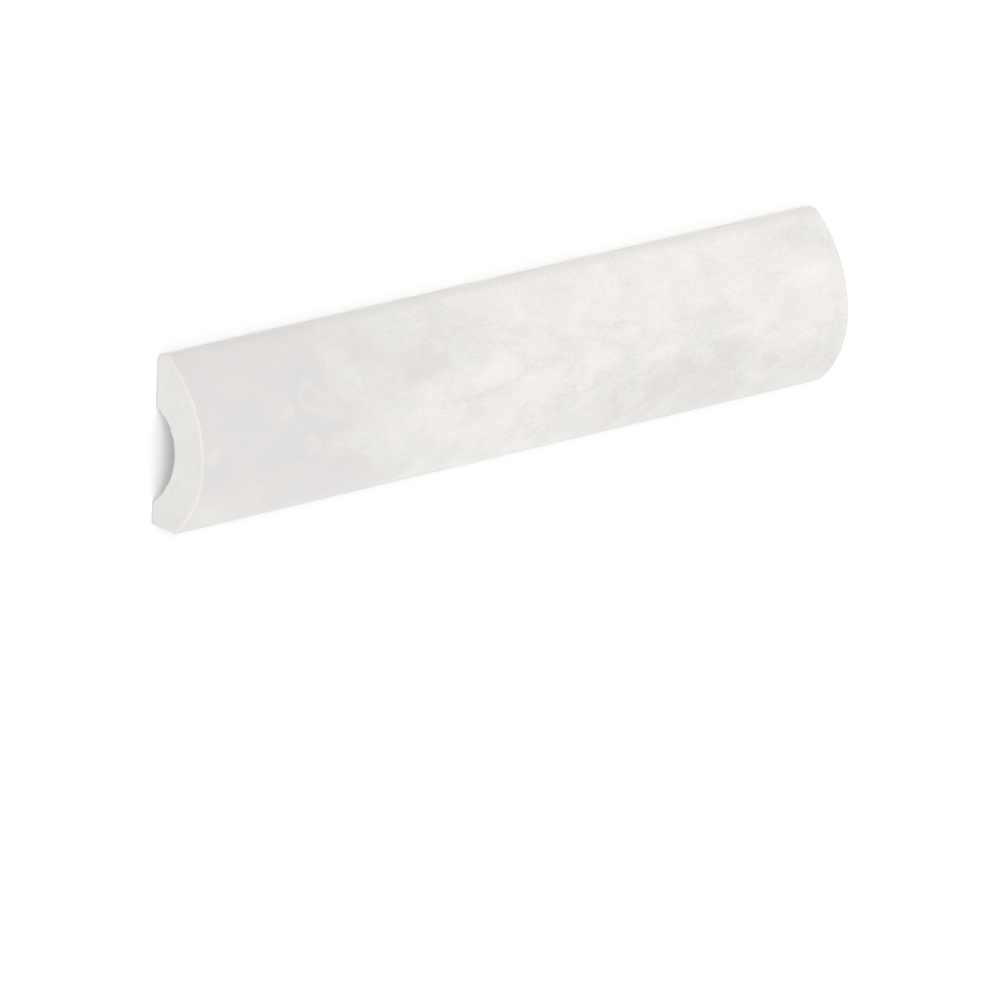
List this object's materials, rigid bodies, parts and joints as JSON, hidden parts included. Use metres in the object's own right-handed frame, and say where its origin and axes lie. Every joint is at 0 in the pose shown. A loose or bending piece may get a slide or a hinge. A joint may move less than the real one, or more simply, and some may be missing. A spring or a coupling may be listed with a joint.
{
  "type": "pencil bullnose tile",
  "caption": "Slim glazed ceramic trim tile: a convex face from a thick butt edge over a crown to a thin rounded edge, with a hollow back for the adhesive.",
  "frame": {"origin": "middle of the back plane, at half length and half width; the tile lies on it", "axes": "+X along the tile, +Y across it towards the thin rounded edge, +Z out of the glazed face"},
  "size_m": [0.2, 0.03, 0.01],
  "materials": {
    "glazed_tile": "warm white cloudy glaze on the face and arrises, bare pale biscuit on the ends, butt edge and back"
  },
  "bodies": {
    "root": {"bullnose_tile": "glazed_tile"}
  },
  "joints": []
}
